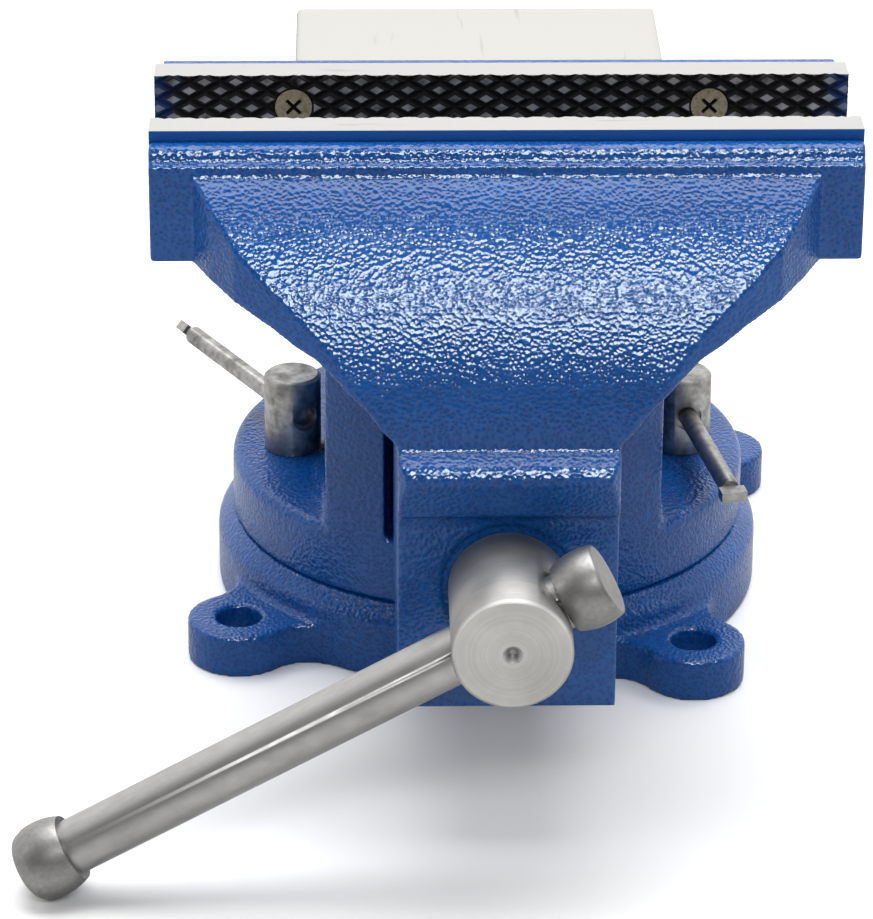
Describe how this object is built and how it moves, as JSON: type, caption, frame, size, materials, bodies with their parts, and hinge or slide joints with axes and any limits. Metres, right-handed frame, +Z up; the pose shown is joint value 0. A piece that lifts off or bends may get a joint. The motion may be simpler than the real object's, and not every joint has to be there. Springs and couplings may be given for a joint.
{
  "type": "bench vise",
  "caption": "Swivel-base bench vise with a sliding front jaw, wide serrated jaw plates, rear anvil, lead screw with sliding handle and two swivel lock nuts with bars.",
  "frame": {"origin": "on the swivel axis, in the plane of the bench top under the base ears", "axes": "+X to the right of a person at the handle, +Y away from them to the anvil, +Z up"},
  "size_m": [0.2401, 0.3502, 0.2045],
  "materials": {
    "cast_base": "glossy blue hammer paint on cast iron",
    "cast_body": "glossy blue hammer paint on cast iron, anvil top ground",
    "cast_jaw": "glossy blue hammer paint on cast iron",
    "jaw_plate": "ground top, dark diamond serrated face",
    "screw_zinc": "yellow zinc plated",
    "turned_steel": "satin turned steel",
    "dark_steel": "plain dark steel",
    "lock_steel": "blotchy zinc plated steel",
    "nut_iron": "machined cast iron"
  },
  "bodies": {
    "base": {"swivel_base": "cast_base"},
    "body": {"vise_body": "cast_body", "fixed_jaw_plate": "jaw_plate", "fixed_screw_left": "screw_zinc", "fixed_screw_right": "screw_zinc", "pivot_bolt": "dark_steel", "pivot_washer": "dark_steel", "spindle_nut": "nut_iron", "nut_bolt": "dark_steel", "lock_bolt_left": "dark_steel", "lock_bolt_right": "dark_steel"},
    "jaw": {"moving_jaw": "cast_jaw", "moving_jaw_plate": "jaw_plate", "moving_screw_left": "screw_zinc", "moving_screw_right": "screw_zinc", "spring_washer": "dark_steel"},
    "screw": {"spindle": "turned_steel", "spindle_collar": "dark_steel", "collar_pin": "turned_steel"},
    "handle": {"handle_bar": "turned_steel", "handle_cap_left": "turned_steel", "handle_cap_right": "turned_steel"},
    "lock_left": {"lock_nut_left": "lock_steel"},
    "lock_right": {"lock_nut_right": "lock_steel"},
    "bar_left": {"lock_bar_left": "lock_steel"},
    "bar_right": {"lock_bar_right": "lock_steel"}
  },
  "joints": [
    {"name": "swivel", "type": "hinge", "parent": "base", "child": "body", "pos_m": [0, 0, 0.024], "axis": [0, 0, 1], "continuous": true},
    {"name": "jaw_slide", "type": "slide", "parent": "body", "child": "jaw", "axis": [0, -1, 0], "range_m": [-0.0332, 0.1466]},
    {"name": "screw_turn", "type": "hinge", "parent": "jaw", "child": "screw", "pos_m": [0, -0.19, 0.0845], "axis": [0, 1, 0], "range_deg": [-10550, 2388]},
    {"name": "handle_slide", "type": "slide", "parent": "screw", "child": "handle", "axis": [-0.8721, 0, -0.4894], "range_m": [-0.1241, 0.0004]},
    {"name": "lock_turn_left", "type": "hinge", "parent": "body", "child": "lock_left", "pos_m": [-0.0622, -0.0032, 0.055], "axis": [0, 0, 1], "range_deg": [-32, 150]},
    {"name": "lock_turn_right", "type": "hinge", "parent": "body", "child": "lock_right", "pos_m": [0.0622, -0.0032, 0.055], "axis": [0, 0, 1], "range_deg": [-12, 165]},
    {"name": "bar_slide_left", "type": "slide", "parent": "lock_left", "child": "bar_left", "axis": [0.4909, -0.8712, 0], "range_m": [-0.002, 0.008]},
    {"name": "bar_slide_right", "type": "slide", "parent": "lock_right", "child": "bar_right", "axis": [-0.1702, 0.9854, 0], "range_m": [-0.004, 0.028]}
  ],
  "couplings": [
    {"joint": "jaw_slide", "follows": "screw_turn", "m_per_rad": -0.00079577}
  ]
}
